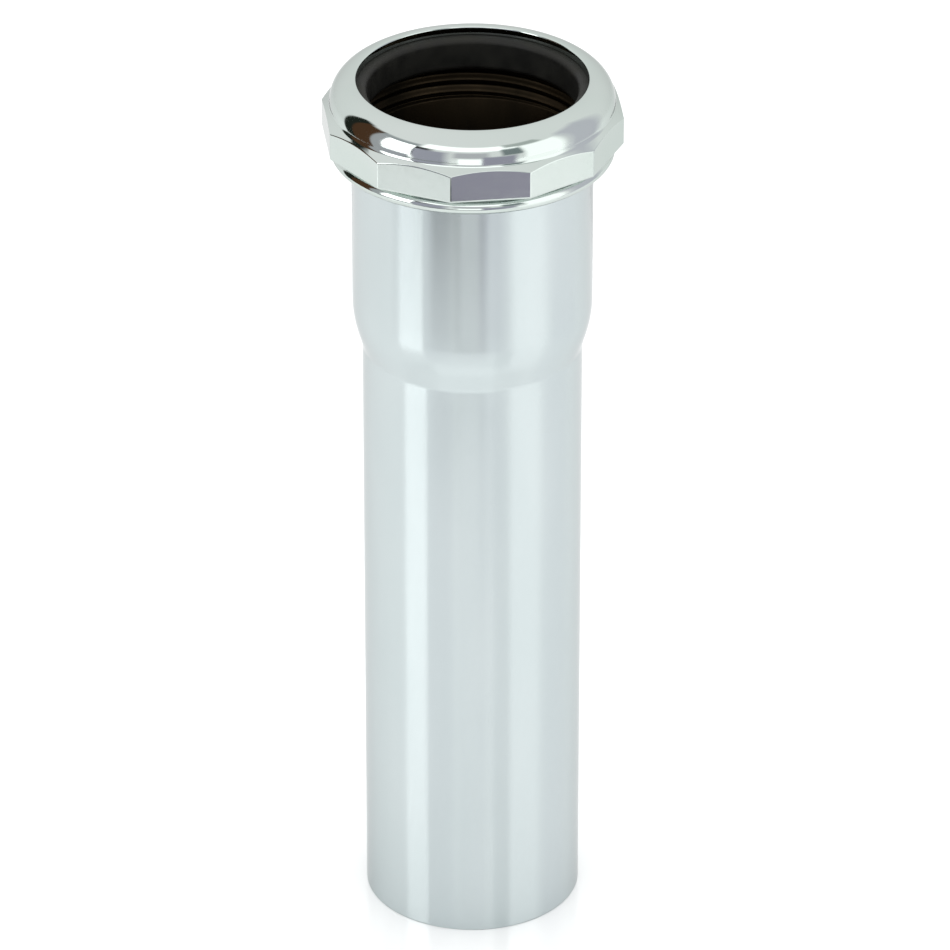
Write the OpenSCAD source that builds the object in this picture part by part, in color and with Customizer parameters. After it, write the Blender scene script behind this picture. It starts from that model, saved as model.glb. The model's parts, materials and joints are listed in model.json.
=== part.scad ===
// Slip-joint drain extension tube: a chrome-plated brass tube with a belled, threaded end,
// a rubber sealing washer on the bell's rim and a twelve-sided slip nut over both.
// The tube stands on its plain end. The origin is the centre of that end and +Z runs up to the nut.
// Dimensions are millimetres.

/* [Tube] */
// Outside diameter of the plain end, 1-1/2 in
tube_od = 38.1; // [30:0.1:55]
// Length of the tube from the plain end to the rim, 6 in
tube_length = 152.4; // [100:0.1:400]
// Thickness of the tube's wall
wall = 0.8; // [0.5:0.05:1.2]
// Edge break left by cutting the plain end
cut_break = 0.15; // [0.05:0.05:0.2]

/* [Bell] */
// Gap all round between the bell's bore and a tube of the same size slid into it
socket_clearance = 0.88; // [0.5:0.02:1.6]
// Length from the rim down to the top of the taper
bell_length = 34.2; // [20:0.1:60]
// Angle of the taper from the tube's axis
taper_angle = 16; // [12:1:25]
// Radius of the rounded shoulder at the top of the taper
shoulder_radius = 20; // [10:0.5:22]
// Radius of the hollow at the foot of the taper
foot_radius = 3; // [1:0.5:8]

/* [Thread band] */
// Step from the bell's surface out to the middle of the rolled thread
thread_rise = 0.44; // [0.2:0.02:0.7]
// Length of the rolled thread along the tube
thread_length = 5.2; // [3:0.1:8]
// Plain lead between the thread and the rim
thread_lead = 0.65; // [0.3:0.05:1.5]
// Gap all round between the two threads
thread_clearance = 0.1; // [0.05:0.01:0.2]

/* [Washer] */
// How much narrower the unstretched washer's bore is than the tube that it grips
washer_grip = 2.1; // [0:0.1:3]
// Gap between the washer's outside and the nut's thread
washer_gap = 0.4; // [0.2:0.05:0.8]
// Height of the washer
washer_height = 6; // [3:0.1:8]
// Rounding of the washer's inner edges
washer_inner_round = 1; // [0.2:0.1:1.4]
// Rounding of the washer's outer edges
washer_outer_round = 0.5; // [0.1:0.1:1.2]

/* [Nut] */
// Height of the nut
nut_height = 14; // [11:0.1:20]
// Gap all round between the nut's opening and a tube passed through it
lip_clearance = 0.76; // [0.4:0.02:1.2]
// Thickness of the lip that presses on the washer
lip_thickness = 1.6; // [1:0.1:2.2]
// Number of flats round the nut
flat_count = 12; // [6,8,10,12]
// Thickness from the thread out to the middle of a flat
flat_wall = 3.84; // [3.2:0.02:6]
// Height of a flat along its upright edges
flat_height = 4.95; // [3:0.05:6]
// Angle of the bevel that cuts the tops of the flats to arcs
bevel_angle = 40; // [20:1:45]
// Thickness from the thread out to the foot of the rounded shoulder
shoulder_wall = 3.1; // [2.4:0.02:3.2]
// Radius of the hollow between the bevel and the rounded shoulder
valley_radius = 0.9; // [0.4:0.1:1.2]
// Thickness from the thread out to the crest of the rounded bead below the flats
bead_wall = 3.15; // [2:0.05:3.15]
// Radius of the bead's rounded face
bead_radius = 1.2; // [0.6:0.1:1.2]
// Height of the bead and the neck above it, up to the flats
neck_height = 3.1; // [2.5:0.1:4]
// Rounding of the opening's edge
lip_round = 0.3; // [0.1:0.05:0.5]
// Bevel at the mouth of the nut's thread
mouth_bevel = 0.4; // [0.1:0.1:0.6]
// Step from the nut's thread out to the washer's chamber
chamber_step = 0.35; // [0.1:0.05:0.6]
// Hollow corner between the chamber and the lip
seat_round = 0.9; // [0.3:0.1:1.5]
// Where the nut has stopped, as the angle of one upright edge from +X
nut_angle = -8; // [-15:0.1:15]

/* [Hidden] */
$fn = 180;
// Straight pieces that stand for each arc of a turned outline
ARC_STEPS = 12;
// How far a cutting outline runs past what it cuts
PAST = 1;

tube_r = tube_od / 2;
tube_bore_r = tube_r - wall;
bell_bore_r = tube_r + socket_clearance;
bell_r = bell_bore_r + wall;
band_r = bell_r + thread_rise;

// Heights on the tube, from the plain end up
band_top = tube_length - thread_lead;
band_bottom = band_top - thread_length;
taper_top = tube_length - bell_length;
arc_share = 1 - cos(taper_angle);
slope_rise = bell_r - tube_r - (foot_radius + shoulder_radius) * arc_share;
slope_height = slope_rise / tan(taper_angle);
slope_top = taper_top - shoulder_radius * sin(taper_angle);
slope_foot = slope_top - slope_height;
taper_foot = slope_foot - foot_radius * sin(taper_angle);

// The nut, with heights from its own lower face up
nut_bore_r = band_r + thread_clearance;
chamber_r = nut_bore_r + chamber_step;
lip_r = tube_r + lip_clearance;
neck_r = nut_bore_r + bead_wall - bead_radius;
flat_r = nut_bore_r + flat_wall;
edge_r = flat_r / cos(180 / flat_count);
dome_r = nut_bore_r + shoulder_wall;
seat_height = nut_height - lip_thickness;
nut_bottom = tube_length + washer_height - seat_height;
chamber_floor = tube_length - nut_bottom;
flat_top = neck_height + flat_height;
valley_r = dome_r + valley_radius;
valley_height = flat_top + (valley_radius + (edge_r - valley_r) * sin(bevel_angle)) / cos(bevel_angle);
dome_width = dome_r - lip_r - lip_round;
dome_height = nut_height - valley_height;

washer_r = nut_bore_r - washer_gap;
washer_bore_r = (tube_od - washer_grip) / 2;

// Points on an ellipse's arc about [x, y], from angle a to angle b
function arc(x, y, rx, ry, a, b) =
    [for (i = [0 : ARC_STEPS]) let (t = a + (b - a) * i / ARC_STEPS) [x + rx * cos(t), y + ry * sin(t)]];

// One face of the tube's wall from the plain end up to the rim. The outer face has shift 0 and
// the inner face is the same line moved in by the wall.
function wall_line(shift) = concat(
    arc(tube_r + foot_radius, taper_foot, foot_radius + shift, foot_radius + shift,
        180, 180 - taper_angle),
    arc(bell_r - shoulder_radius, taper_top, shoulder_radius - shift, shoulder_radius - shift,
        -taper_angle, 0),
    [
        [bell_r - shift, band_bottom - thread_rise],
        [band_r - shift, band_bottom],
        [band_r - shift, band_top - thread_rise],
        [bell_r - shift, band_top],
        [bell_r - shift, tube_length]
    ]
);

function reversed(points) = [for (i = [len(points) - 1 : -1 : 0]) points[i]];

module turned(outline) {
    rotate_extrude() polygon(outline);
}

// One wall all the way up: plain end, taper, bell and the band that the thread is rolled in
module extension_tube() {
    color("gainsboro") turned(concat(
        [[tube_r - cut_break, 0], [tube_r, cut_break]],
        wall_line(0),
        reversed(wall_line(wall)),
        [[tube_bore_r, 0]]
    ));
}

// A plain ring with rounded edges that stands on the bell's rim inside the nut
module sealing_washer() {
    inner = washer_inner_round;
    outer = washer_outer_round;
    color("darkslategray") translate([0, 0, tube_length]) turned(concat(
        arc(washer_bore_r + inner, inner, inner, inner, 180, 270),
        arc(washer_r - outer, outer, outer, outer, -90, 0),
        arc(washer_r - outer, washer_height - outer, outer, outer, 0, 90),
        arc(washer_bore_r + inner, washer_height - inner, inner, inner, 90, 180)
    ));
}

// The nut before its flats are cut: bead, neck, flange with a bevel above, hollow, rounded shoulder and lip
module nut_turning() {
    flange_r = edge_r + PAST;
    turned(concat(
        arc(neck_r, bead_radius, bead_radius, bead_radius, -90, 90),
        [
            [neck_r, neck_height],
            [flange_r, neck_height],
            [flange_r, flat_top - PAST * tan(bevel_angle)]
        ],
        arc(valley_r, valley_height, valley_radius, valley_radius, 270 - bevel_angle, 180),
        arc(dome_r - dome_width, valley_height, dome_width, dome_height, 0, 90),
        arc(lip_r + lip_round, nut_height - lip_round, lip_round, lip_round, 90, 180),
        [[lip_r, seat_height]],
        arc(chamber_r - seat_round, seat_height - seat_round, seat_round, seat_round, 90, 0),
        [
            [chamber_r, chamber_floor + chamber_step],
            [nut_bore_r, chamber_floor],
            [nut_bore_r, mouth_bevel],
            [nut_bore_r + mouth_bevel, 0]
        ]
    ));
}

module slip_nut() {
    color("silver") translate([0, 0, nut_bottom]) intersection() {
        nut_turning();
        rotate([0, 0, nut_angle]) translate([0, 0, -PAST])
            cylinder(h = nut_height + 2 * PAST, r = edge_r, $fn = flat_count);
    }
}

extension_tube();
sealing_washer();
slip_nut();
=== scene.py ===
"""Looks of a slip-joint drain extension tube that stands on its plain end.

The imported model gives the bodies, the main sizes and the pitch of the thread. Geometry Nodes
turn the outlines of the tube and the washer, repeat one flat of the nut round its axis and
roll both threads. Sizes are millimetres until a mesh is made.
"""
import json
import math

import bmesh
import bpy
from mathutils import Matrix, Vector


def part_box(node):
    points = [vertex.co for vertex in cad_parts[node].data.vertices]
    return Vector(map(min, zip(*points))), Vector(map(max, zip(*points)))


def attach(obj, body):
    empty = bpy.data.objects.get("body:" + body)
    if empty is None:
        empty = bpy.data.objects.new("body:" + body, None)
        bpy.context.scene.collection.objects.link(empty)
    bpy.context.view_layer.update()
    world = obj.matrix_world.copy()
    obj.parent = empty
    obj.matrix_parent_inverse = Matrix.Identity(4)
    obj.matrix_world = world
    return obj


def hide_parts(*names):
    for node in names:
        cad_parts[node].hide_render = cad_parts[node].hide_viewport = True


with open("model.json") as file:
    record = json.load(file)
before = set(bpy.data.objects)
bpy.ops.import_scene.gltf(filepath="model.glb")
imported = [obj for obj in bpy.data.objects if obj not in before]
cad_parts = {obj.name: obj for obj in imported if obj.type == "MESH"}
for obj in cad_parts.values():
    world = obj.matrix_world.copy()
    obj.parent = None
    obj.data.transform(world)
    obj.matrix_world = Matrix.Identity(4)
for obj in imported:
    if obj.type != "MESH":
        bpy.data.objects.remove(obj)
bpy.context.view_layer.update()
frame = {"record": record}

MM = 0.001
INNER = "inner"

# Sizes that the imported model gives
mounts = {mount["name"]: mount for mount in frame["record"]["mounts"]}
tube_r = mounts["plain_outlet"]["dims"]["r_mm"]
washer_bore_r = mounts["washer_inlet"]["dims"]["r_mm"]
tube_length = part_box("extension_tube")[1].z / MM
band_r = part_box("extension_tube")[1].x / MM
washer_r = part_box("sealing_washer")[1].x / MM
washer_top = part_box("sealing_washer")[1].z / MM
nut_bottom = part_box("slip_nut")[0].z / MM
nut_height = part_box("slip_nut")[1].z / MM - nut_bottom
thread_pitch = math.tau * frame["record"]["behaviour"]["couplings"][0]["ratio"] / MM

# The tube, as in the solid model
wall = 0.8
cut_break = 0.15
socket_clearance = 0.88
bell_length = 34.2
taper_angle = math.radians(16)
shoulder_radius = 20
foot_radius = 3
thread_rise = 0.44
thread_length = 5.2
thread_lead = 0.65
rim_break = 0.2

# The nut, as in the solid model, with heights from its own lower face
thread_clearance = 0.1
lip_clearance = 0.76
lip_thickness = 1.6
flat_count = 12
flat_wall = 3.84
flat_height = 4.95
bevel_angle = math.radians(40)
shoulder_wall = 3.1
valley_radius = 0.9
bead_wall = 3.15
bead_radius = 1.2
neck_height = 3.1
lip_round = 0.3
chamber_step = 0.35
seat_round = 0.9
nut_angle = math.radians(-8)

# Roundings that polishing leaves on the nut's edges
upright_round = 0.45
flat_top_round = 0.2
flat_foot_round = 0.35
neck_root_round = 0.1
mouth_round = 0.15
seat_edge_round = 0.15

# The washer, as in the solid model
washer_inner_round = 1
washer_outer_round = 0.5

# The rolled thread: how far it stands out of the bell, and into the nut's bore
tube_thread_depth = 0.8
nut_thread_depth = 0.7
thread_fade = 0.5
nut_thread_start = 0.3

# How finely the pieces are made
tube_facets = 256
washer_facets = 192
flat_columns = 24
edge_columns = 4
edge_margin = 2.2
thread_row = 0.11
hold = 0.1

bell_bore_r = tube_r + socket_clearance
bell_r = bell_bore_r + wall
nut_bore_r = band_r + thread_clearance
chamber_r = nut_bore_r + chamber_step
lip_r = tube_r + lip_clearance
neck_r = nut_bore_r + bead_wall - bead_radius
flat_r = nut_bore_r + flat_wall
half_flat = math.pi / flat_count
edge_r = flat_r / math.cos(half_flat)
dome_r = nut_bore_r + shoulder_wall
seat_height = nut_height - lip_thickness
flat_top = neck_height + flat_height
band_top = tube_length - thread_lead
band_bottom = band_top - thread_length - thread_rise


# Outlines

def arc(x, y, rx, ry, first, last, steps):
    """Points on an ellipse's arc about (x, y), with its angles in degrees."""
    angles = [math.radians(first + (last - first) * i / steps) for i in range(steps + 1)]
    return [(x + rx * math.cos(a), y + ry * math.sin(a)) for a in angles]


def upright(x, start, end):
    """Points along a straight wall, close enough together to take a thread."""
    rows = math.ceil(abs(end - start) / thread_row)
    return [(x, start + (end - start) * i / rows) for i in range(rows + 1)]


def rounded(corner, before, after, radius, steps):
    """The arc that rounds a corner, and a point past each end that holds the straights straight."""
    corner = Vector(corner)
    back = (Vector(before) - corner).normalized()
    ahead = (Vector(after) - corner).normalized()
    half = back.angle(ahead) / 2
    reach = radius / math.tan(half)
    centre = corner + (back + ahead).normalized() * (radius / math.sin(half))
    first = corner + back * reach - centre
    last = corner + ahead * reach - centre
    sweep = math.pi - 2 * half
    points = [corner + back * (reach + hold)]
    for i in range(steps + 1):
        turned = sweep * i / steps
        points.append(centre + (first * math.sin(sweep - turned) + last * math.sin(turned)) / math.sin(sweep))
    points.append(corner + ahead * (reach + hold))
    return [tuple(point) for point in points]


def closed_outline(*parts):
    """Joins curves, each a list of points, and corners, each (x, y, radius, steps), into one loop."""
    ends = [part if isinstance(part, list) else [part[:2]] for part in parts]
    points = []
    for i, part in enumerate(parts):
        if isinstance(part, list):
            points += part
        else:
            before = ends[i - 1][-1]
            after = ends[(i + 1) % len(parts)][0]
            points += rounded(part[:2], before, after, *part[2:])
    return points


def tube_outline():
    """The tube's wall from the plain end up the outside to the rim and down the inside, and which
    of its points are on the inside."""
    half = math.tan(taper_angle / 2)
    shoulder = tube_length - bell_length - shoulder_radius * half
    foot = shoulder - (bell_r - tube_r) / math.tan(taper_angle)
    inner = wall * half
    outline = closed_outline(
        (tube_r, 0, cut_break, 3),
        (tube_r, foot, foot_radius, 10),
        (bell_r, shoulder, shoulder_radius, 20),
        upright(bell_r, band_bottom, band_top),
        (bell_r, tube_length, rim_break, 3),
        (bell_bore_r, tube_length, rim_break, 3),
        upright(bell_bore_r, band_top, band_bottom),
        (bell_bore_r, shoulder + inner, shoulder_radius - wall, 20),
        (tube_r - wall, foot + inner, foot_radius + wall, 10),
        (tube_r - wall, 0, cut_break, 3),
    )
    rim = max(range(len(outline)), key=lambda i: outline[i][1])
    return outline, range(rim + 4, len(outline))


def washer_outline():
    """A plain ring that stands on the rim, with well-rounded edges round its bore."""
    return closed_outline(
        (washer_r, tube_length, washer_outer_round, 8),
        (washer_r, washer_top, washer_outer_round, 8),
        (washer_bore_r, washer_top, washer_inner_round, 12),
        (washer_bore_r, tube_length, washer_inner_round, 12),
    )


def edge_arc():
    """Where the rounding of an upright edge has its centre, and the angle that it takes up."""
    centre = (flat_r - upright_round) / math.cos(half_flat)
    angle = math.atan2(upright_round * math.sin(half_flat), centre + upright_round * math.cos(half_flat))
    return centre, angle


def flange_radius(angle):
    """Distance from the axis out to the flange, at an angle from the middle of a flat."""
    centre, reach = edge_arc()
    from_edge = half_flat - abs(angle)
    if from_edge > reach:
        return flat_r / math.cos(angle)
    across = centre * math.sin(from_edge)
    return centre * math.cos(from_edge) + math.sqrt(upright_round ** 2 - across ** 2)


def nut_section(angle):
    """The nut's outline at an angle from the middle of a flat, which only the flange changes with."""
    flange_r = flange_radius(angle)
    flange_top = flat_top + (edge_r - flange_r) * math.tan(bevel_angle)
    valley_r = dome_r + valley_radius
    valley = flat_top + (valley_radius + (edge_r - valley_r) * math.sin(bevel_angle)) / math.cos(bevel_angle)
    dome_width = dome_r - lip_r - lip_round
    bevel_end = 270 - math.degrees(bevel_angle)
    crown = arc(valley_r, valley, valley_radius, valley_radius, bevel_end, 180, 10)
    crown += arc(dome_r - dome_width, valley, dome_width, nut_height - valley, 0, 90, 28)[1:]
    crown += arc(lip_r + lip_round, nut_height - lip_round, lip_round, lip_round, 90, 180, 6)[1:]
    return closed_outline(
        (chamber_r, 0, mouth_round, 3),
        arc(neck_r, bead_radius, bead_radius, bead_radius, -90, 90, 24),
        (neck_r, neck_height, neck_root_round, 2),
        (flange_r, neck_height, flat_foot_round, 5),
        (flange_r, flange_top, flat_top_round, 5),
        crown,
        (lip_r, seat_height, seat_edge_round, 3),
        (chamber_r, seat_height, seat_round, 6),
        upright(chamber_r, tube_length - nut_bottom, nut_thread_start),
    )


def column_angles():
    """For each column of a sector, its even angle and one that crowds into the rounded edges."""
    half = flat_columns // 2
    reach = edge_arc()[1]
    plain = half - edge_columns - 1
    last_plain = half_flat - reach * edge_margin
    crowded = [last_plain * i / plain for i in range(plain + 1)]
    crowded += [half_flat - reach * (1 - i / edge_columns) for i in range(edge_columns + 1)]
    even = [half_flat * i / half for i in range(half + 1)]
    pairs = list(zip(even, crowded))
    return [(-a, -b) for a, b in reversed(pairs[1:])] + pairs


def sector_mesh():
    """One flat of the nut with all that lies above, below and inside it, as a grid of quads."""
    vertices = []
    columns = column_angles()
    for even, crowded in columns:
        section = nut_section(crowded)
        for r, z in section:
            share = min(max((r - dome_r) / (flat_r - flat_foot_round - dome_r), 0), 1)
            angle = even + (crowded - even) * share
            vertices.append((r * math.cos(angle), r * math.sin(angle), z + nut_bottom))
    rows = len(section)
    faces = []
    for column in range(len(columns) - 1):
        for row in range(rows):
            here = column * rows + row
            above = column * rows + (row + 1) % rows
            faces.append((here, here + rows, above + rows, above))
    return new_piece("slip_nut_plated", vertices, [], faces)


def outline_piece(name, outline, inner=()):
    """An outline as a loop of edges in the XZ plane, ready to be turned. Its inner points are marked."""
    count = len(outline)
    edges = [(i, (i + 1) % count) for i in range(count)]
    piece = new_piece(name, [(x, 0, z) for x, z in outline], edges, [])
    mark = piece.data.attributes.new(INNER, "FLOAT", "POINT")
    for i in inner:
        mark.data[i].value = 1.0
    return piece


def new_piece(name, vertices, edges, faces):
    """A mesh object at the origin, made from points in millimetres."""
    mesh = bpy.data.meshes.new(name)
    mesh.from_pydata([[value * MM for value in point] for point in vertices], edges, faces)
    piece = bpy.data.objects.new(name, mesh)
    bpy.context.scene.collection.objects.link(piece)
    return piece


# Node trees

def add_node(tree, kind, inputs=None, **settings):
    """Adds a node with its settings, and sets or links its inputs."""
    node = tree.nodes.new(kind)
    for name, value in settings.items():
        setattr(node, name, value)
    for socket, value in (inputs or {}).items():
        if isinstance(value, bpy.types.NodeSocket):
            tree.links.new(value, node.inputs[socket])
        else:
            node.inputs[socket].default_value = value
    return node


def new_tree(name, sizes):
    """A Geometry Nodes tree with named inputs, and its input sockets by name."""
    tree = bpy.data.node_groups.new(name, "GeometryNodeTree")
    tree.interface.new_socket("Geometry", in_out="INPUT", socket_type="NodeSocketGeometry")
    for label, kind in sizes.items():
        tree.interface.new_socket(label, in_out="INPUT", socket_type=kind)
    tree.interface.new_socket("Geometry", in_out="OUTPUT", socket_type="NodeSocketGeometry")
    return tree, add_node(tree, "NodeGroupInput").outputs


def close_tree(tree, geometry, given):
    """Ends a tree: smooth faces, real geometry, and a finish outside and another on the marked inside."""
    smooth = add_node(tree, "GeometryNodeSetShadeSmooth", {"Geometry": geometry})
    real = add_node(tree, "GeometryNodeRealizeInstances", {"Geometry": smooth.outputs[0]})
    finished = add_node(tree, "GeometryNodeSetMaterial", {"Geometry": real.outputs[0], "Material": given["Finish"]})
    mark = add_node(tree, "GeometryNodeInputNamedAttribute", {"Name": INNER}, data_type="FLOAT")
    inside = add_node(tree, "FunctionNodeCompare", {"A": mark.outputs[0], "B": 0.5},
                      data_type="FLOAT", operation="GREATER_THAN")
    both = add_node(tree, "GeometryNodeSetMaterial", {
        "Geometry": finished.outputs[0], "Selection": inside.outputs[0], "Material": given["Inner finish"]})
    add_node(tree, "NodeGroupOutput", {"Geometry": both.outputs[0]})


def turning_tree():
    """Turns a closed outline in the XZ plane round Z, as on a lathe."""
    tree, given = new_tree("turn_outline", {
        "Facets": "NodeSocketInt",
        "Path radius": "NodeSocketFloat",
        "Finish": "NodeSocketMaterial",
        "Inner finish": "NodeSocketMaterial",
    })
    circle = add_node(tree, "GeometryNodeCurvePrimitiveCircle",
                      {"Resolution": given["Facets"], "Radius": given["Path radius"]})
    path = add_node(tree, "GeometryNodeSetCurveNormal", {"Curve": circle.outputs[0]}, mode="Z_UP")
    line = add_node(tree, "GeometryNodeMeshToCurve", {"Mesh": given["Geometry"]})
    position = add_node(tree, "GeometryNodeInputPosition")
    parts = add_node(tree, "ShaderNodeSeparateXYZ", {0: position.outputs[0]})
    outward = add_node(tree, "ShaderNodeMath", {0: parts.outputs["X"], 1: given["Path radius"]}, operation="SUBTRACT")
    downward = add_node(tree, "ShaderNodeMath", {0: parts.outputs["Z"], 1: -1.0}, operation="MULTIPLY")
    flat = add_node(tree, "ShaderNodeCombineXYZ", {"X": outward.outputs[0], "Y": downward.outputs[0]})
    profile = add_node(tree, "GeometryNodeSetPosition",
                       {"Geometry": line.outputs[0], "Position": flat.outputs[0]})
    turned = add_node(tree, "GeometryNodeCurveToMesh",
                      {"Curve": path.outputs[0], "Profile Curve": profile.outputs[0]})
    close_tree(tree, turned.outputs[0], given)
    return tree


def repeating_tree():
    """Repeats a sector round Z and joins the copies where they meet."""
    tree, given = new_tree("repeat_round_axis", {
        "Count": "NodeSocketInt",
        "Start angle": "NodeSocketFloat",
        "Weld distance": "NodeSocketFloat",
        "Finish": "NodeSocketMaterial",
        "Inner finish": "NodeSocketMaterial",
    })
    centres = add_node(tree, "GeometryNodeMeshLine", {"Count": given["Count"], "Offset": (0, 0, 0)})
    index = add_node(tree, "GeometryNodeInputIndex")
    step = add_node(tree, "ShaderNodeMath", {0: math.tau, 1: given["Count"]}, operation="DIVIDE")
    angle = add_node(tree, "ShaderNodeMath",
                     {0: index.outputs[0], 1: step.outputs[0], 2: given["Start angle"]}, operation="MULTIPLY_ADD")
    turn = add_node(tree, "ShaderNodeCombineXYZ", {"Z": angle.outputs[0]})
    rotation = add_node(tree, "FunctionNodeEulerToRotation", {0: turn.outputs[0]})
    copies = add_node(tree, "GeometryNodeInstanceOnPoints",
                      {"Points": centres.outputs[0], "Instance": given["Geometry"], "Rotation": rotation.outputs[0]})
    real = add_node(tree, "GeometryNodeRealizeInstances", {"Geometry": copies.outputs[0]})
    joined = add_node(tree, "GeometryNodeMergeByDistance",
                      {"Geometry": real.outputs[0], "Distance": given["Weld distance"]})
    close_tree(tree, joined.outputs[0], given)
    return tree


def threading_tree():
    """Rolls a right-hand thread into the walls that stand between two heights."""
    tree, given = new_tree("roll_thread", {
        "Pitch": "NodeSocketFloat",
        "Depth": "NodeSocketFloat",
        "Phase": "NodeSocketFloat",
        "Bottom": "NodeSocketFloat",
        "Top": "NodeSocketFloat",
        "Fade": "NodeSocketFloat",
        "Widest": "NodeSocketFloat",
        "Finish": "NodeSocketMaterial",
        "Inner finish": "NodeSocketMaterial",
    })
    position = add_node(tree, "GeometryNodeInputPosition")
    parts = add_node(tree, "ShaderNodeSeparateXYZ", {0: position.outputs[0]})
    height = parts.outputs["Z"]
    flat = add_node(tree, "ShaderNodeCombineXYZ", {"X": parts.outputs["X"], "Y": parts.outputs["Y"]})
    radius = add_node(tree, "ShaderNodeVectorMath", {0: flat.outputs[0]}, operation="LENGTH")
    outward = add_node(tree, "ShaderNodeVectorMath", {0: flat.outputs[0]}, operation="NORMALIZE")
    angle = add_node(tree, "ShaderNodeMath", {0: parts.outputs["Y"], 1: parts.outputs["X"]}, operation="ARCTAN2")

    turns = add_node(tree, "ShaderNodeMath", {0: height, 1: given["Pitch"]}, operation="DIVIDE")
    climb = add_node(tree, "ShaderNodeMath",
                     {0: turns.outputs[0], 1: math.tau, 2: given["Phase"]}, operation="MULTIPLY_ADD")
    wave_angle = add_node(tree, "ShaderNodeMath", {0: climb.outputs[0], 1: angle.outputs[0]}, operation="SUBTRACT")
    wave = add_node(tree, "ShaderNodeMath", {0: wave_angle.outputs[0]}, operation="COSINE")
    crest = add_node(tree, "ShaderNodeMath", {0: wave.outputs[0], 1: 0.5, 2: 0.5}, operation="MULTIPLY_ADD")

    bottom_end = add_node(tree, "ShaderNodeMath", {0: given["Bottom"], 1: given["Fade"]}, operation="ADD")
    top_start = add_node(tree, "ShaderNodeMath", {0: given["Top"], 1: given["Fade"]}, operation="SUBTRACT")
    fade_in = add_node(tree, "ShaderNodeMapRange",
                       {"Value": height, "From Min": given["Bottom"], "From Max": bottom_end.outputs[0]},
                       interpolation_type="SMOOTHSTEP")
    fade_out = add_node(tree, "ShaderNodeMapRange",
                        {"Value": height, "From Min": given["Top"], "From Max": top_start.outputs[0]},
                        interpolation_type="SMOOTHSTEP")
    fade = add_node(tree, "ShaderNodeMath", {0: fade_in.outputs[0], 1: fade_out.outputs[0]}, operation="MULTIPLY")
    shape = add_node(tree, "ShaderNodeMath", {0: crest.outputs[0], 1: fade.outputs[0]}, operation="MULTIPLY")
    depth = add_node(tree, "ShaderNodeMath", {0: shape.outputs[0], 1: given["Depth"]}, operation="MULTIPLY")
    shift = add_node(tree, "ShaderNodeVectorMath",
                     {0: outward.outputs[0], "Scale": depth.outputs[0]}, operation="SCALE")
    inside = add_node(tree, "FunctionNodeCompare", {"A": radius.outputs["Value"], "B": given["Widest"]},
                      data_type="FLOAT", operation="LESS_THAN")
    rolled = add_node(tree, "GeometryNodeSetPosition",
                      {"Geometry": given["Geometry"], "Selection": inside.outputs[0], "Offset": shift.outputs[0]})
    close_tree(tree, rolled.outputs[0], given)
    return tree


def run_tree(piece, tree, values):
    """Adds a tree to a piece, with its inputs set by the sockets' identifiers."""
    modifier = piece.modifiers.new(tree.name, "NODES")
    modifier.node_group = tree
    for item in tree.interface.items_tree:
        if item.in_out == "INPUT" and item.name in values:
            modifier[item.identifier] = values[item.name]


def make_plain(piece):
    """Turns what the trees made into the piece's own mesh, with every face outwards."""
    evaluated = piece.evaluated_get(bpy.context.evaluated_depsgraph_get())
    mesh = bpy.data.meshes.new_from_object(evaluated)
    piece.modifiers.clear()
    piece.data = mesh
    shell = bmesh.new()
    shell.from_mesh(mesh)
    bmesh.ops.recalc_face_normals(shell, faces=shell.faces)
    shell.to_mesh(mesh)
    shell.free()
    return piece


# Materials

def linear(code):
    """Linear colour from an sRGB hex code."""
    values = [int(code[i:i + 2], 16) / 255 for i in (1, 3, 5)]
    return [v / 12.92 if v <= 0.04045 else ((v + 0.055) / 1.055) ** 2.4 for v in values] + [1]


def new_material(name):
    """A material with an empty node tree."""
    material = bpy.data.materials.new(name)
    material.use_nodes = True
    material.node_tree.nodes.clear()
    return material, material.node_tree


def object_point(tree, scale):
    """Object coordinates, in metres, times a number for each axis."""
    place = add_node(tree, "ShaderNodeTexCoord")
    return add_node(tree, "ShaderNodeMapping", {"Vector": place.outputs["Object"], "Scale": scale}).outputs[0]


def noise(tree, scale, detail=2.0, roughness=0.5):
    """Noise with a feature about every 1 / scale metres along each axis, from 0 to 1."""
    return add_node(tree, "ShaderNodeTexNoise", {
        "Vector": object_point(tree, scale), "Scale": 1.0, "Detail": detail, "Roughness": roughness}).outputs[0]


def spread_to(tree, value, low, high, smallest=0.3, largest=0.7):
    """A noise value spread between two numbers."""
    return add_node(tree, "ShaderNodeMapRange", {
        "Value": value, "From Min": smallest, "From Max": largest, "To Min": low, "To Max": high}).outputs[0]


def tint(tree, value, first, second):
    """A colour between two, by a noise value."""
    share = spread_to(tree, value, 0.0, 1.0)
    mix = add_node(tree, "ShaderNodeMix", {0: share, 6: linear(first), 7: linear(second)}, data_type="RGBA")
    return mix.outputs[2]


def bump(tree, height, depth, strength=1.0):
    """A bump as deep as a length in millimetres."""
    return add_node(tree, "ShaderNodeBump",
                    {"Height": height, "Distance": depth * MM, "Strength": strength}).outputs[0]


def polished_chrome():
    """Bright chrome plate over a nut buffed by hand. Sharp, slightly dark reflections with a green cast,
    and faint waves a few millimetres long that keep their edges from looking ruled."""
    material, tree = new_material("polished_chrome_plate")
    waves = noise(tree, (220, 220, 220), detail=1.0)
    haze = noise(tree, (900, 900, 900), detail=4.0)
    shader = add_node(tree, "ShaderNodeBsdfPrincipled", {
        "Base Color": tint(tree, noise(tree, (60, 60, 60)), "#C1CBC6", "#C8CFCC"),
        "Metallic": 1.0,
        "Roughness": spread_to(tree, haze, 0.05, 0.09),
        "Specular Tint": (0.68, 0.68, 0.68, 1),
        "Normal": bump(tree, waves, 0.004),
    })
    add_node(tree, "ShaderNodeOutputMaterial", {"Surface": shader.outputs[0]})
    return material


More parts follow.
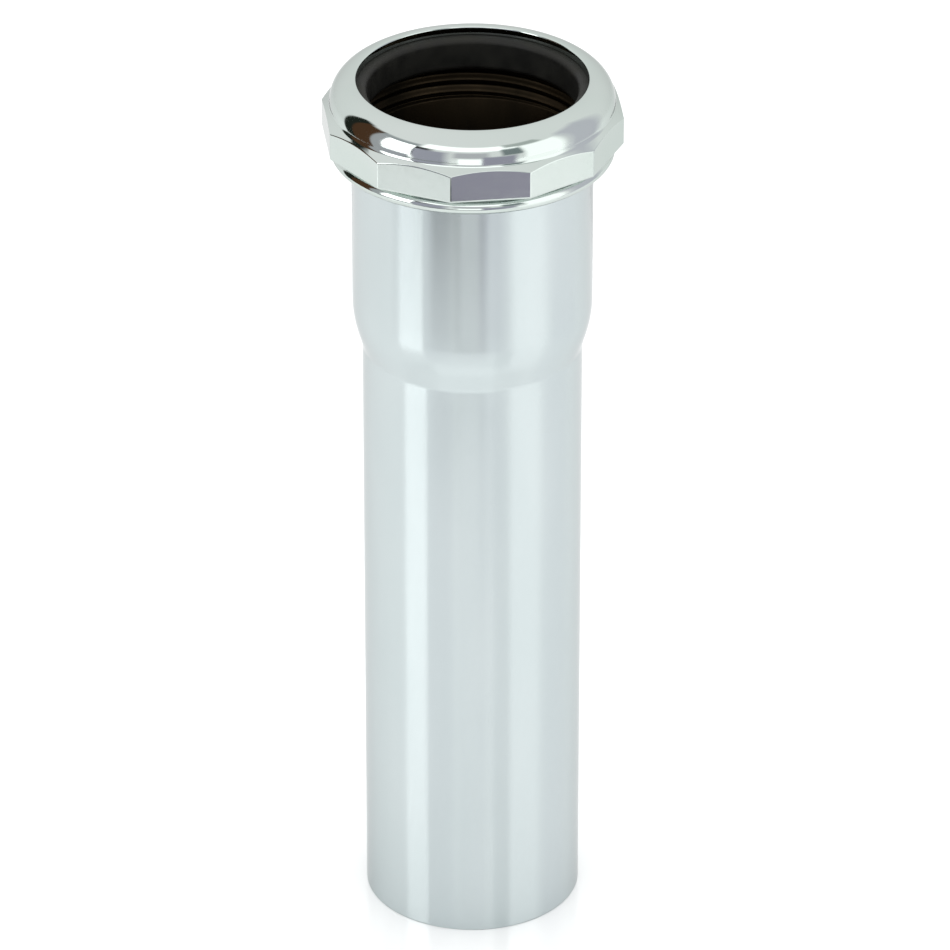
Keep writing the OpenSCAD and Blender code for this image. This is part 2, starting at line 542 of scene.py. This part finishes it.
def lathe_polished_chrome():
    """Chrome plate over brass polished on the spinning tube. Fine lines round the tube smear a
    reflection up and down it, less on the taper and at the plain end, which the wheel doesn't reach."""
    material, tree = new_material("lathe_polished_chrome_plate")
    height = add_node(tree, "ShaderNodeSeparateXYZ", {0: object_point(tree, (1, 1, 1))}).outputs["Z"]
    share = add_node(tree, "ShaderNodeMapRange", {
        "Value": height, "From Min": 0.012, "From Max": 0.03}, interpolation_type="SMOOTHSTEP").outputs[0]
    below = add_node(tree, "ShaderNodeMapRange", {
        "Value": height, "From Min": 0.112, "From Max": 0.104}, interpolation_type="SMOOTHSTEP").outputs[0]
    above = add_node(tree, "ShaderNodeMapRange", {
        "Value": height, "From Min": 0.116, "From Max": 0.123}, interpolation_type="SMOOTHSTEP").outputs[0]
    straight = add_node(tree, "ShaderNodeMath", {0: below, 1: above}, operation="ADD").outputs[0]
    wheel = add_node(tree, "ShaderNodeMath", {0: straight, 1: share}, operation="MULTIPLY").outputs[0]
    smear = spread_to(tree, wheel, 0.14, 0.18, 0.0, 1.0)
    # The lines are drawn coarser than the real ones of some hundredths of a millimetre
    lines = noise(tree, (30, 30, 4000), detail=3.0)
    patches = noise(tree, (150, 150, 40), detail=3.0)
    varied = add_node(tree, "ShaderNodeMath",
                      {0: smear, 1: spread_to(tree, patches, 0.94, 1.06)}, operation="MULTIPLY").outputs[0]
    shader = add_node(tree, "ShaderNodeBsdfPrincipled", {
        "Base Color": tint(tree, noise(tree, (80, 80, 25)), "#BFC8C9", "#C4CCCD"),
        "Metallic": 1.0,
        "Roughness": varied,
        "Specular Tint": (0.75, 0.75, 0.75, 1),
        "Anisotropic": 0.8,
        "Anisotropic Rotation": 0.25,
        "Normal": bump(tree, lines, 0.0006),
    })
    add_node(tree, "ShaderNodeOutputMaterial", {"Surface": shader.outputs[0]})
    return material


def bare_bore():
    """Drawn brass inside the tube, which the plating doesn't reach and which has gone dull and brown. Its base colour
    is also kept near black, as painted shade of the deep bore.
    """
    material, tree = new_material("tarnished_drawn_brass")
    stains = noise(tree, (120, 120, 45), detail=6.0, roughness=0.6)
    draw_lines = noise(tree, (2500, 2500, 30), detail=2.0)
    # The near-black base colour is painted shade of the deep bore, laid over the brass's own dull brown
    shader = add_node(tree, "ShaderNodeBsdfPrincipled", {
        "Base Color": tint(tree, stains, "#1C1913", "#332B20"),
        "Metallic": 1.0,
        "Roughness": spread_to(tree, stains, 0.55, 0.38),
        "Normal": bump(tree, draw_lines, 0.004),
    })
    add_node(tree, "ShaderNodeOutputMaterial", {"Surface": shader.outputs[0]})
    return material


def moulded_rubber():
    """Black nitrile rubber from a mould. Nearly black, with a dull olive-grey bloom and a fine grain."""
    material, tree = new_material("moulded_black_rubber")
    bloom = noise(tree, (300, 300, 300), detail=5.0)
    grain = noise(tree, (6000, 6000, 6000), detail=2.0)
    shader = add_node(tree, "ShaderNodeBsdfPrincipled", {
        "Base Color": tint(tree, bloom, "#0D0D0A", "#1B1B15"),
        "Roughness": spread_to(tree, bloom, 0.52, 0.68),
        "IOR": 1.52,
        "Specular IOR Level": 0.3,
        "Normal": bump(tree, grain, 0.01),
    })
    add_node(tree, "ShaderNodeOutputMaterial", {"Surface": shader.outputs[0]})
    return material


def glossy_white_board():
    """Glossy white laminate. At a low angle it mirrors the windows, which is what the tube then shows."""
    material, tree = new_material("glossy_white_laminate")
    shader = add_node(tree, "ShaderNodeBsdfPrincipled", {
        "Base Color": linear("#F6F7F7"),
        "Roughness": 0.12,
        "IOR": 2.0,
    })
    add_node(tree, "ShaderNodeOutputMaterial", {"Surface": shader.outputs[0]})
    return material


# Studio

def glow(name, colour, strength):
    """A soft-edged emitting surface, for what the polished metal mirrors."""
    material, tree = new_material(name)
    light = add_node(tree, "ShaderNodeEmission", {"Color": linear(colour), "Strength": strength})
    clear = add_node(tree, "ShaderNodeBsdfTransparent")
    cover = add_node(tree, "ShaderNodeAttribute", attribute_name="cover")
    mix = add_node(tree, "ShaderNodeMixShader", {0: cover.outputs["Fac"], 1: clear.outputs[0], 2: light.outputs[0]})
    add_node(tree, "ShaderNodeOutputMaterial", {"Surface": mix.outputs[0]})
    return material


def soft_span(first, last, soft):
    """Steps across a card, each with how much the card covers there. It fades out past both ends."""
    count = max(1, math.ceil((last - first) / 4))
    inner = [(first + (last - first) * i / count, 1.0) for i in range(count + 1)]
    return [(first - soft[0], 0.0)] + inner + [(last + soft[1], 0.0)]


def card(name, colour, strength, sides, heights, soft=(3, 3, 3, 3), distance=0.72, cards=[]):
    """A studio card that only reflections show, between two azimuths and two elevations in degrees as
    seen from the nut. Azimuth 0 is the side that the camera is on. What would reach below the floor
    lies on it, and each card is a little in front of the one before."""
    cards.append(name)
    middle = (nut_bottom + nut_height / 2) * MM
    reach = distance * (1 - 0.01 * len(cards))
    floor_gap = 0.0002 * len(cards)
    columns = soft_span(*sides, soft[:2])
    rows = soft_span(*heights, soft[2:])
    vertices, covers = [], []
    for side, side_cover in columns:
        angle = math.radians(side)
        for height, height_cover in rows:
            rise = math.tan(math.radians(height))
            out = reach if middle + rise * reach > floor_gap else (floor_gap - middle) / rise
            point = Vector((math.sin(angle) * out, -math.cos(angle) * out, middle + rise * out))
            vertices.append(tuple(point / MM))
            covers.append(side_cover * height_cover)
    n = len(rows)
    faces = [(i * n + j, (i + 1) * n + j, (i + 1) * n + j + 1, i * n + j + 1)
             for i in range(len(columns) - 1) for j in range(n - 1)]
    panel = new_piece(name, vertices, [], faces)
    cover = panel.data.attributes.new("cover", "FLOAT", "POINT")
    cover.data.foreach_set("value", covers)
    panel.data.materials.append(glow(name + "_glow", colour, strength))
    panel.visible_camera = False
    panel.visible_diffuse = False
    panel.visible_shadow = False


def studio():
    """White walls and floor, a soft light overhead and the cards that the plating mirrors."""
    scene = bpy.context.scene
    scene.view_settings.view_transform = "Standard"
    world = bpy.data.worlds.new("white_studio")
    world.use_nodes = True
    scene.world = world
    background = world.node_tree.nodes["Background"]
    background.inputs["Color"].default_value = (1, 1, 1, 1)
    background.inputs["Strength"].default_value = 1.08

    floor = new_piece("floor", [(-4000, -4000, 0), (4000, -4000, 0), (4000, 4000, 0), (-4000, 4000, 0)],
                      [], [(0, 1, 2, 3)])
    floor.data.materials.append(glossy_white_board())

    overhead = bpy.data.lights.new("overhead_softbox", "AREA")
    overhead.shape = "SQUARE"
    overhead.size = 1.6
    overhead.energy = 12
    light = bpy.data.objects.new("overhead_softbox", overhead)
    light.location = (0, 0, 1.6)
    light.visible_glossy = False
    scene.collection.objects.link(light)

    # Left: a dark board and a grey one close by, and a far window that the floor mirrors too
    card("left_window", "#FFFFFF", 3.6, (-73, -49), (-1.5, 31.3), (3, 1, 0.1, 0.6), distance=5)
    card("window_post", "#101012", 1.0, (-47.5, -38), (-1.5, 31), (1, 8, 0.1, 4), distance=5)
    card("dark_board", "#262B26", 1.0, (-109, -97), (-20.5, 38), (2, 1, 0.5, 5), distance=0.15)
    card("brown_board", "#573D2B", 1.0, (-98, -80), (-20.5, 36), (2, 2, 0.5, 5), distance=0.15)
    card("grey_board", "#BDBDC2", 1.0, (-79, -70), (-20, 30), (2, 2, 2, 6), distance=0.16)
    card("left_lintel", "#B4B8BC", 1.0, (-86, -48), (33, 39), (5, 5, 2, 5))
    card("left_low_grey", "#BCBCC4", 1.0, (-76, -52), (-23.5, -14), (3, 3, 1, 3))
    # Front: a long window above, and dim things round a bright gap below it
    card("front_left_grey", "#BEBCCB", 0.95, (-45, -24), (-20, 20), (3, 8, 3, 6))
    card("front_window", "#FFFFFF", 1.9, (-41, 36), (32, 49), (5, 5, 2, 3))
    card("front_middle_grey", "#D8D6DC", 1.0, (-12, 10), (3, 22), (5, 5, 4, 5))
    card("front_low_white", "#FFFFFF", 1.8, (-10, 6), (-22, -5), (2, 2, 2, 4))
    card("front_right_grey", "#B5B1C2", 1.0, (9, 31), (-22, 2), (3, 5, 2, 6))
    card("front_right_dark", "#8E989A", 1.0, (25, 38), (10, 32), (4, 3, 5, 6))
    # Right: a white window and the dimmer wall over and past it
    card("right_softbox", "#FFFFFF", 1.7, (43, 71), (-20, 36), (4, 8, 5, 4))
    card("right_lintel", "#CBD0CE", 1.0, (31, 62), (42, 51), (5, 5, 3, 4))
    card("right_wall", "#E2E0EA", 1.0, (86, 108), (-20, 40), (12, 12, 8, 10))
    # On the floor: the dark edge of the table in front, and glints beside it
    card("table_edge", "#0E0F12", 1.0, (-34, 9), (-27.4, -25.2), (8, 8, 1.4, 0.8))
    card("table_edge_left", "#6F7870", 1.0, (-52, -16), (-23.8, -21.5), (6, 6, 0.6, 1.5))
    card("table_notch", "#30303A", 1.0, (-11, 9), (-29, -27), (7, 6, 1.6, 1.0))
    card("table_purple", "#AFA9BB", 1.0, (7, 24), (-26, -23), (2, 5, 0.8, 2))
    card("left_glint", "#FFFFFF", 1.8, (-66, -54), (-27, -24.5), (3, 2, 1, 1))
    card("right_glint", "#FFFFFF", 1.6, (38, 64), (-27, -16), (6, 6, 2, 4))


def camera():
    """The photograph's view: a long lens from the front, looking down."""
    lens = bpy.data.cameras.new("camera")
    lens.lens = 267.9
    lens.sensor_width = 36
    lens.shift_x = 0.0027
    lens.clip_end = 20
    place = bpy.data.objects.new("camera", lens)
    place.location = (0, -1.0780, 0.6908)
    aim = Vector((0, 0, 0.08251)) - place.location
    place.rotation_euler = aim.to_track_quat("-Z", "Y").to_euler()
    bpy.context.scene.collection.objects.link(place)
    bpy.context.scene.camera = place


# The pieces

def thread_values(depth, phase, bottom, top, widest, finish, inner_finish=None):
    """Inputs of the threading tree, with sizes in millimetres."""
    return {
        "Pitch": thread_pitch * MM,
        "Depth": depth * MM,
        "Phase": phase,
        "Bottom": bottom * MM,
        "Top": top * MM,
        "Fade": thread_fade * MM,
        "Widest": widest * MM,
        "Finish": finish,
        "Inner finish": inner_finish,
    }


def extension_tube(turning, threading):
    """The belled tube, turned and then threaded by rolling its wall outwards."""
    finish, inner_finish = lathe_polished_chrome(), bare_bore()
    piece = outline_piece("extension_tube_plated", *tube_outline())
    run_tree(piece, turning, {"Facets": tube_facets, "Path radius": tube_r * MM,
                              "Finish": finish, "Inner finish": inner_finish})
    run_tree(piece, threading, thread_values(
        tube_thread_depth, 0.0, band_bottom, band_top, edge_r, finish, inner_finish))
    make_plain(piece)
    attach(piece, "tube")
    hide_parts("extension_tube")


def sealing_washer(turning):
    """The rubber ring on the rim, inside the nut."""
    piece = outline_piece("sealing_washer_rubber", washer_outline())
    run_tree(piece, turning,
             {"Facets": washer_facets, "Path radius": tube_r * MM, "Finish": moulded_rubber()})
    make_plain(piece)
    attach(piece, "washer")
    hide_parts("sealing_washer")


def slip_nut(repeating, threading):
    """The twelve-sided nut, with its thread cut inwards from the bore."""
    finish = polished_chrome()
    piece = sector_mesh()
    first_flat = nut_angle + half_flat
    run_tree(piece, repeating,
             {"Count": flat_count, "Start angle": first_flat, "Weld distance": 1e-6, "Finish": finish})
    run_tree(piece, threading, thread_values(
        -nut_thread_depth, math.pi, nut_bottom + nut_thread_start, tube_length, chamber_r + hold, finish))
    make_plain(piece)
    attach(piece, "nut")
    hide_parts("slip_nut")


camera()
studio()
turn_outline = turning_tree()
roll_thread = threading_tree()
extension_tube(turn_outline, roll_thread)
sealing_washer(turn_outline)
slip_nut(repeating_tree(), roll_thread)
